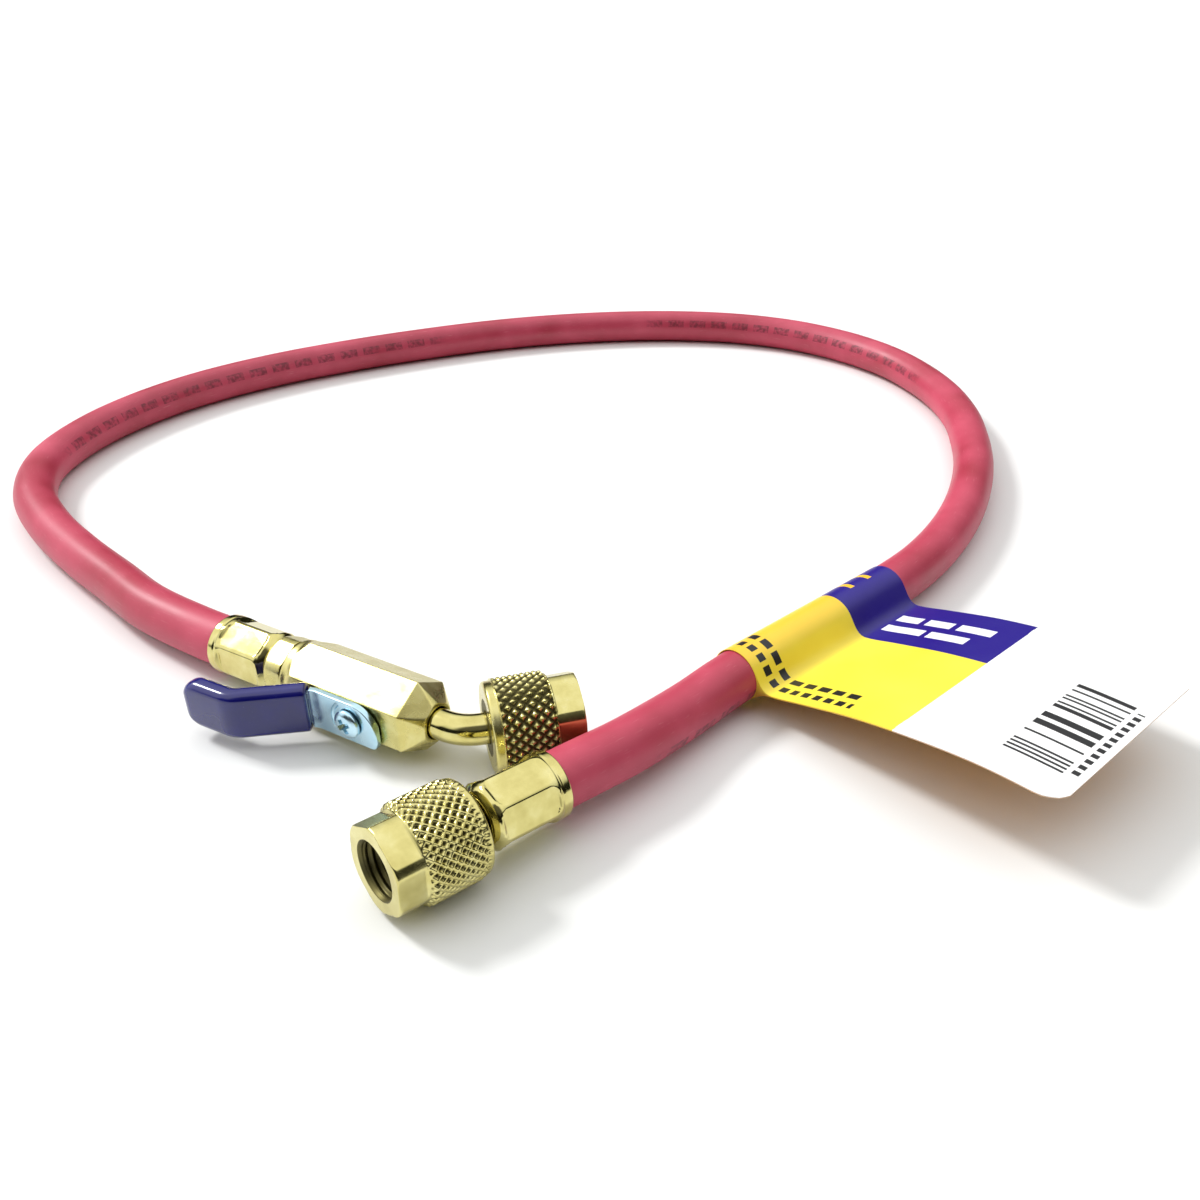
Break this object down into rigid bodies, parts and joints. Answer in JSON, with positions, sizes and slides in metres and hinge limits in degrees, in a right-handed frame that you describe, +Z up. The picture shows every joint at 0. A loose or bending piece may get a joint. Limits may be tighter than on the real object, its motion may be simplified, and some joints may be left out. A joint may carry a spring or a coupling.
{
  "type": "refrigerant charging hose",
  "caption": "Short rubber refrigerant charging hose with crimped brass ends, a knurled swivel nut on each end, and a lever ball valve with a bent tube on one of them.",
  "frame": {"origin": "centre of the box of the two metal ends, at the level of the floor that the hose lies on", "axes": "+Z up from the floor; +Y along the longest side of that box, from the front nut's side towards the valve's hose end; +X towards the open loop of the hose"},
  "size_m": [0.2959, 0.3227, 0.0193],
  "materials": {
    "red_rubber": "matt extruded rubber cover, light scuffs",
    "brass": "bright turned brass, pale",
    "plated_steel": "bright zinc plate",
    "blue_vinyl": "glossy dipped vinyl",
    "black_rubber": "matt moulded rubber",
    "seat_plastic": "smooth white fluoropolymer",
    "printed_film": "glossy printed film"
  },
  "bodies": {
    "root": {"hose": "red_rubber", "label_tag": "printed_film", "front_ferrule": "brass", "front_neck": "brass", "front_seal": "black_rubber", "valve_ferrule": "brass", "valve_adapter": "brass", "valve_body": "brass", "hose_side_seat": "seat_plastic", "tube_side_seat": "seat_plastic", "bent_tube": "brass", "bent_seal": "black_rubber", "core_depressor": "brass"},
    "lever": {"valve_ball": "plated_steel", "valve_stem": "brass", "lever_plate": "plated_steel", "lever_grip": "blue_vinyl", "lever_screw": "plated_steel"},
    "front_nut": {"front_nut": "brass"},
    "bent_nut": {"bent_nut": "brass"}
  },
  "joints": [
    {"name": "lever_turn", "type": "hinge", "parent": "root", "child": "lever", "pos_m": [-0.00007, 0.00416, 0.00884], "axis": [0.9641, 0.2656, 0], "range_deg": [0, 90]},
    {"name": "front_nut_spin", "type": "hinge", "parent": "root", "child": "front_nut", "pos_m": [-0.019, -0.03822, 0.0098], "axis": [-0.9983, 0.0523, 0.0262], "continuous": true},
    {"name": "bent_nut_spin", "type": "hinge", "parent": "root", "child": "bent_nut", "pos_m": [0.01817, -0.02294, 0.00974], "axis": [0.8941, -0.4475, 0.0193], "continuous": true}
  ]
}
